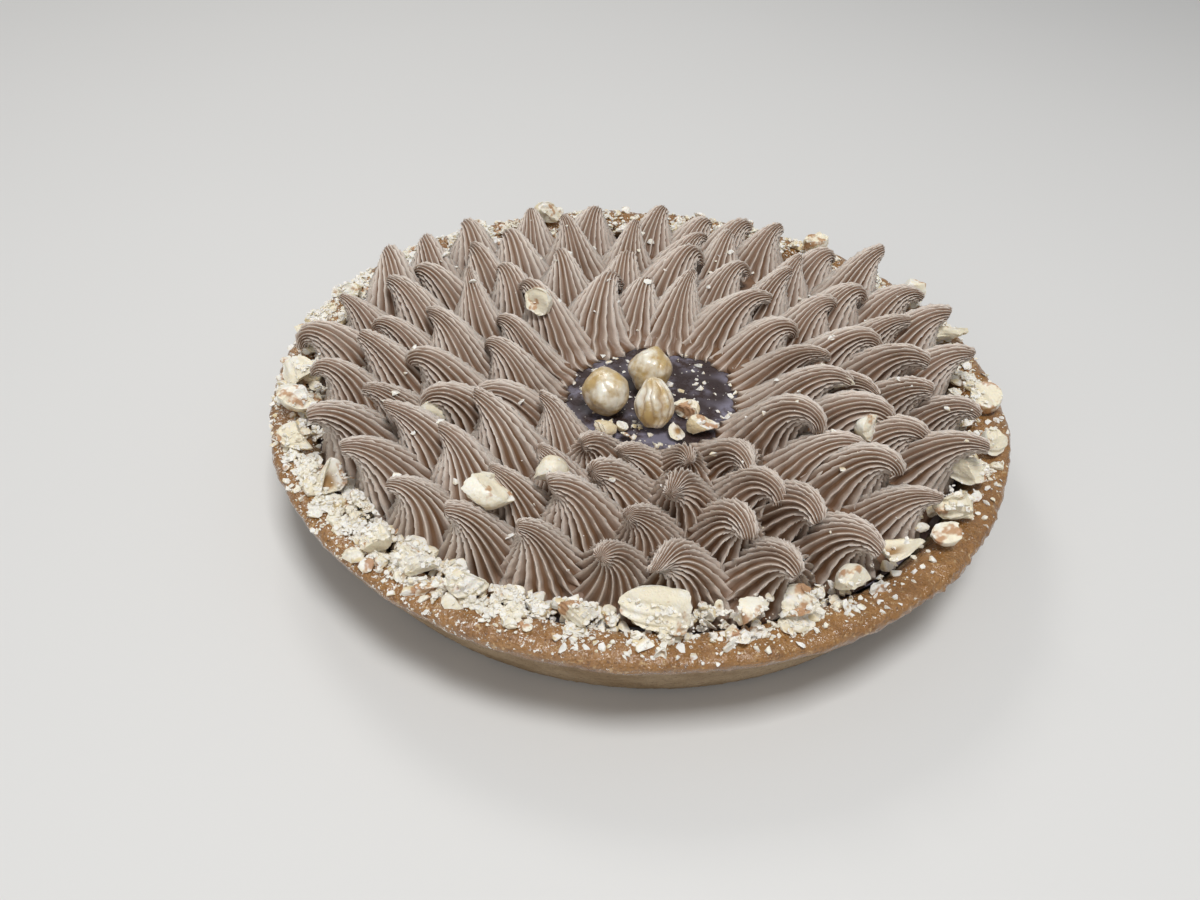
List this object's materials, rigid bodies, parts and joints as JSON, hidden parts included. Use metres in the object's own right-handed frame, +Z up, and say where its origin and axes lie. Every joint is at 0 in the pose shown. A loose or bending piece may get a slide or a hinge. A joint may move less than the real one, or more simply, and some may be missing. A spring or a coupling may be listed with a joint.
{
  "type": "chocolate hazelnut tart",
  "caption": "Round shortcrust tart with a dark chocolate filling, rows of piped hazelnut cream round an open centre, whole hazelnuts in it and chopped hazelnuts on the rim.",
  "frame": {"origin": "middle of the flat underside of the crust", "axes": "+Z up through the middle of the tart; -Y towards the tart's front, the side nearest the camera in the picture; +X to the right as seen from the front"},
  "size_m": [0.23, 0.23, 0.0482],
  "materials": {
    "baked_crust": "baked shortcrust, sandy wall, rim browned and slightly glossy, dusted with fine nut crumbs",
    "dark_chocolate": "set dark chocolate, satin with a pale sheen",
    "hazelnut_cream": "piped milk-brown hazelnut cream, soft satin, ridged",
    "hazelnut": "peeled roasted hazelnut, ivory to pale yellow with toasted brown patches"
  },
  "bodies": {
    "root": {"crust": "baked_crust", "filling": "dark_chocolate", "cream": "hazelnut_cream", "hazelnut_left": "hazelnut", "hazelnut_back": "hazelnut", "hazelnut_front": "hazelnut", "nut_piece_01": "hazelnut", "nut_piece_02": "hazelnut", "nut_piece_03": "hazelnut", "nut_piece_04": "hazelnut", "nut_piece_05": "hazelnut", "nut_piece_06": "hazelnut", "nut_piece_07": "hazelnut", "nut_piece_08": "hazelnut", "nut_piece_09": "hazelnut", "nut_piece_10": "hazelnut", "nut_piece_11": "hazelnut", "nut_piece_12": "hazelnut", "nut_piece_13": "hazelnut", "nut_piece_14": "hazelnut", "nut_piece_15": "hazelnut", "nut_piece_16": "hazelnut", "nut_piece_17": "hazelnut", "nut_piece_18": "hazelnut", "nut_piece_19": "hazelnut", "nut_piece_20": "hazelnut", "nut_piece_21": "hazelnut", "nut_piece_22": "hazelnut", "nut_piece_23": "hazelnut", "nut_piece_24": "hazelnut", "nut_piece_25": "hazelnut", "nut_piece_26": "hazelnut", "nut_piece_27": "hazelnut", "nut_piece_28": "hazelnut", "nut_piece_29": "hazelnut", "nut_piece_30": "hazelnut", "nut_piece_31": "hazelnut", "nut_piece_32": "hazelnut", "nut_piece_33": "hazelnut", "nut_piece_34": "hazelnut", "nut_piece_35": "hazelnut", "nut_piece_36": "hazelnut"}
  },
  "joints": []
}
